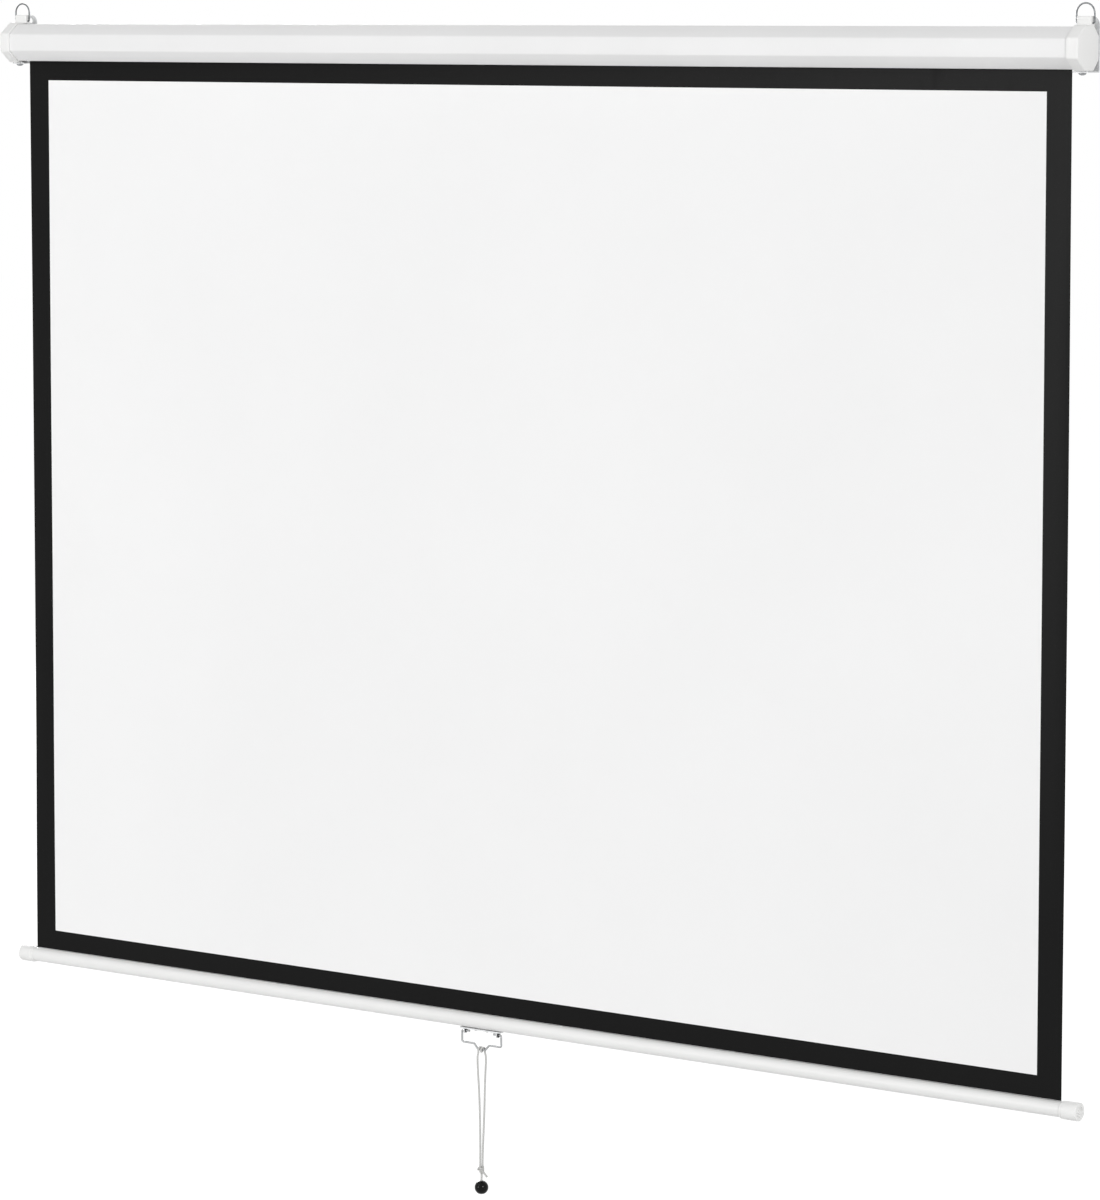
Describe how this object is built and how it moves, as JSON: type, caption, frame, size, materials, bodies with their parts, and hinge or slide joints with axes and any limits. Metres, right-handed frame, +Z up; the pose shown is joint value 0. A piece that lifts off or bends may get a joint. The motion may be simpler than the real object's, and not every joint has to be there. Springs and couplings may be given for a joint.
{
  "type": "pull down projector screen",
  "caption": "Pull down projector screen with an octagonal casing, spring roller, black-bordered white sheet, round weight bar, and a wire pull handle with a looped cord and ball.",
  "frame": {"origin": "middle of the casing's flat back, half-way along the screen and half-way up the casing", "axes": "+X along the screen to the viewer's right, +Y back towards the wall, +Z up; the picture faces -Y"},
  "size_m": [2.194, 0.0673, 2.005],
  "materials": {
    "casing_white": "satin white paint",
    "plastic_white": "white moulded plastic",
    "bar_white": "satin white paint",
    "zinc_steel": "zinc plated",
    "ring_chrome": "bright plated wire",
    "screw_steel": "plated steel",
    "spring_steel": "drawn spring wire",
    "roller_aluminium": "mill finish",
    "nylon_black": "black nylon",
    "screen_white": "matt white screen cloth",
    "screen_black": "matt black screen cloth",
    "cord_grey": "braided whitish cord",
    "ball_black": "glossy black"
  },
  "bodies": {
    "housing": {"casing_shell": "casing_white", "end_cap_left": "plastic_white", "end_cap_right": "plastic_white", "cap_screw_left": "screw_steel", "cap_screw_right": "screw_steel", "wall_plate_left": "zinc_steel", "wall_plate_right": "zinc_steel", "roller_bracket_left": "zinc_steel", "roller_bracket_right": "zinc_steel", "bracket_screw_left_lower": "screw_steel", "bracket_screw_left_upper": "screw_steel", "bracket_screw_right_lower": "screw_steel", "bracket_screw_right_upper": "screw_steel", "idle_bush": "nylon_black", "spring_shaft": "screw_steel", "spring_anchor": "plastic_white", "torsion_spring": "spring_steel", "ratchet_hub": "screw_steel", "screen_sheet": "screen_white", "black_border": "screen_black"},
    "ring_left": {"hanging_ring_left": "ring_chrome"},
    "ring_right": {"hanging_ring_right": "ring_chrome"},
    "roller": {"roller_tube": "roller_aluminium", "fabric_wraps": "screen_black", "idle_plug": "plastic_white", "idle_pin": "screw_steel", "drive_plug": "plastic_white", "pawl_pin_1": "screw_steel", "pawl_pin_2": "screw_steel"},
    "pawl_one": {"pawl_1": "zinc_steel"},
    "pawl_two": {"pawl_2": "zinc_steel"},
    "bar": {"hem_keder": "screen_white", "weight_bar": "bar_white", "bar_cap_left": "plastic_white", "bar_cap_right": "plastic_white", "handle_bracket": "zinc_steel", "strip_screw_1": "screw_steel", "strip_screw_2": "screw_steel", "pivot_bush_left": "nylon_black", "pivot_bush_right": "nylon_black"},
    "handle": {"pull_handle": "zinc_steel"},
    "cord": {"cord_wrap": "cord_grey", "cord_strand_left": "cord_grey", "cord_strand_right": "cord_grey", "cord_knot": "cord_grey", "ball_cord": "cord_grey", "ball_stopper": "cord_grey", "pull_ball": "ball_black"}
  },
  "joints": [
    {"name": "screen_pull", "type": "slide", "parent": "housing", "child": "bar", "axis": [0, 0, 1], "range_m": [0, 1.58], "deforming": ["screen_sheet", "black_border"]},
    {"name": "roller_spin", "type": "hinge", "parent": "housing", "child": "roller", "pos_m": [0, -0.03675, 0], "axis": [1, 0, 0], "range_deg": [0, 5040]},
    {"name": "handle_swing", "type": "hinge", "parent": "bar", "child": "handle", "pos_m": [-0.0605, -0.021, -1.6578], "axis": [1, 0, 0], "range_deg": [-85, 85]},
    {"name": "cord_swing", "type": "hinge", "parent": "handle", "child": "cord", "pos_m": [-0.0605, -0.021, -1.6868], "axis": [1, 0, 0], "range_deg": [-85, 85]},
    {"name": "ring_left_swing", "type": "hinge", "parent": "housing", "child": "ring_left", "pos_m": [-1.08, -0.017, 0.0376], "axis": [1, 0, 0], "range_deg": [-40, 90]},
    {"name": "ring_right_swing", "type": "hinge", "parent": "housing", "child": "ring_right", "pos_m": [1.08, -0.017, 0.0376], "axis": [1, 0, 0], "range_deg": [-40, 90]},
    {"name": "pawl_1_swing", "type": "hinge", "parent": "roller", "child": "pawl_one", "pos_m": [1.0701, -0.03675, 0.0109], "axis": [1, 0, 0], "range_deg": [-15, 0]},
    {"name": "pawl_2_swing", "type": "hinge", "parent": "roller", "child": "pawl_two", "pos_m": [1.0701, -0.03675, -0.0109], "axis": [1, 0, 0], "range_deg": [-15, 0]}
  ],
  "couplings": [
    {"joint": "roller_spin", "follows": "screen_pull", "rad_per_m": 55.674},
    {"joint": "cord_swing", "follows": "handle_swing", "ratio": -1}
  ]
}
